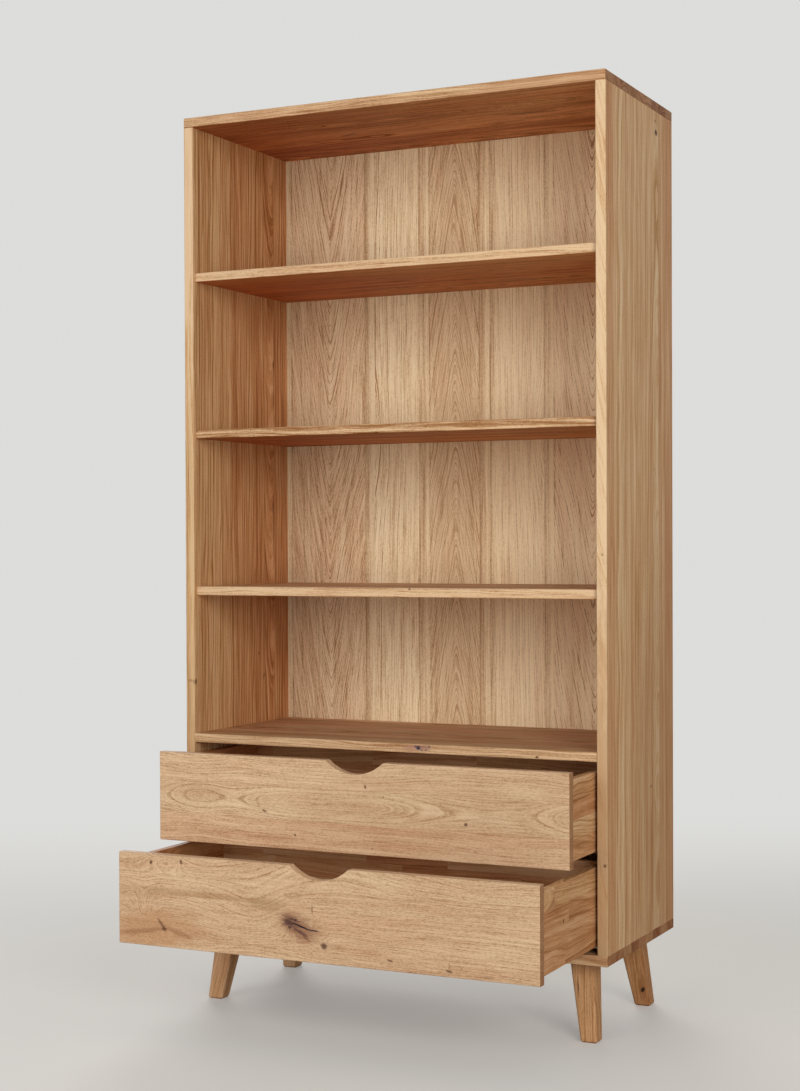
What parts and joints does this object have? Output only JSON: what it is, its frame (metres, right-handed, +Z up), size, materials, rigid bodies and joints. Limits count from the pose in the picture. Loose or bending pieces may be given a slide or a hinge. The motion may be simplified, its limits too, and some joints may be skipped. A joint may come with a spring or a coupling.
{
  "type": "bookcase with drawers",
  "caption": "Tall open oak bookcase on splayed legs, with fixed shelves and full-extension drawers with finger scoops below.",
  "frame": {"origin": "on the floor, in the middle of the footprint of the case and its open drawers at rest (the bounding box's bottom centre)", "axes": "+Z up; +X to the right of someone who stands in front; +Y to the back of the case, so the drawers pull out along -Y"},
  "size_m": [0.9, 0.68, 1.79],
  "materials": {
    "oiled_oak": "oiled, satin",
    "oak_veneer": "oiled, satin",
    "birch_plywood": "lacquered, matt",
    "beech": "raw",
    "zinc_plated_steel": "zinc plated, satin",
    "nylon": "moulded, matt"
  },
  "bodies": {
    "carcass": {"top_panel": "oiled_oak", "bottom_panel": "oiled_oak", "left_side_panel": "oiled_oak", "right_side_panel": "oiled_oak", "back_panel": "oak_veneer", "upper_shelf": "oiled_oak", "middle_shelf": "oiled_oak", "lower_shelf": "oiled_oak", "drawer_deck": "oiled_oak", "front_left_leg": "oiled_oak", "front_right_leg": "oiled_oak", "rear_left_leg": "oiled_oak", "rear_right_leg": "oiled_oak", "leg_bolts": "zinc_plated_steel", "leg_inserts": "zinc_plated_steel", "case_dowels": "beech", "back_screws": "zinc_plated_steel", "upper_left_cabinet_rail": "zinc_plated_steel", "upper_right_cabinet_rail": "zinc_plated_steel", "lower_left_cabinet_rail": "zinc_plated_steel", "lower_right_cabinet_rail": "zinc_plated_steel", "cabinet_rail_screws": "zinc_plated_steel"},
    "upper_carriage": {"upper_left_middle_rail": "zinc_plated_steel", "upper_right_middle_rail": "zinc_plated_steel", "upper_rollers": "nylon"},
    "upper_drawer": {"upper_drawer_front": "oiled_oak", "upper_drawer_left_side": "oiled_oak", "upper_drawer_right_side": "oiled_oak", "upper_drawer_back": "oiled_oak", "upper_drawer_bottom": "birch_plywood", "upper_drawer_dowels": "beech", "upper_left_drawer_rail": "zinc_plated_steel", "upper_right_drawer_rail": "zinc_plated_steel", "upper_left_locking_clip": "nylon", "upper_right_locking_clip": "nylon", "upper_clip_screws": "zinc_plated_steel", "upper_bottom_screws": "zinc_plated_steel"},
    "lower_carriage": {"lower_left_middle_rail": "zinc_plated_steel", "lower_right_middle_rail": "zinc_plated_steel", "lower_rollers": "nylon"},
    "lower_drawer": {"lower_drawer_front": "oiled_oak", "lower_drawer_left_side": "oiled_oak", "lower_drawer_right_side": "oiled_oak", "lower_drawer_back": "oiled_oak", "lower_drawer_bottom": "birch_plywood", "lower_drawer_dowels": "beech", "lower_left_drawer_rail": "zinc_plated_steel", "lower_right_drawer_rail": "zinc_plated_steel", "lower_left_locking_clip": "nylon", "lower_right_locking_clip": "nylon", "lower_clip_screws": "zinc_plated_steel", "lower_bottom_screws": "zinc_plated_steel"}
  },
  "joints": [
    {"name": "upper_drawer_slide", "type": "slide", "parent": "carcass", "child": "upper_drawer", "axis": [0, -1, 0], "range_m": [-0.136, 0.204]},
    {"name": "upper_carriage_slide", "type": "slide", "parent": "carcass", "child": "upper_carriage", "axis": [0, -1, 0], "range_m": [-0.068, 0.102]},
    {"name": "lower_drawer_slide", "type": "slide", "parent": "carcass", "child": "lower_drawer", "axis": [0, -1, 0], "range_m": [-0.28, 0.06]},
    {"name": "lower_carriage_slide", "type": "slide", "parent": "carcass", "child": "lower_carriage", "axis": [0, -1, 0], "range_m": [-0.14, 0.03]}
  ],
  "couplings": [
    {"joint": "upper_carriage_slide", "follows": "upper_drawer_slide", "ratio": 0.5},
    {"joint": "lower_carriage_slide", "follows": "lower_drawer_slide", "ratio": 0.5}
  ]
}
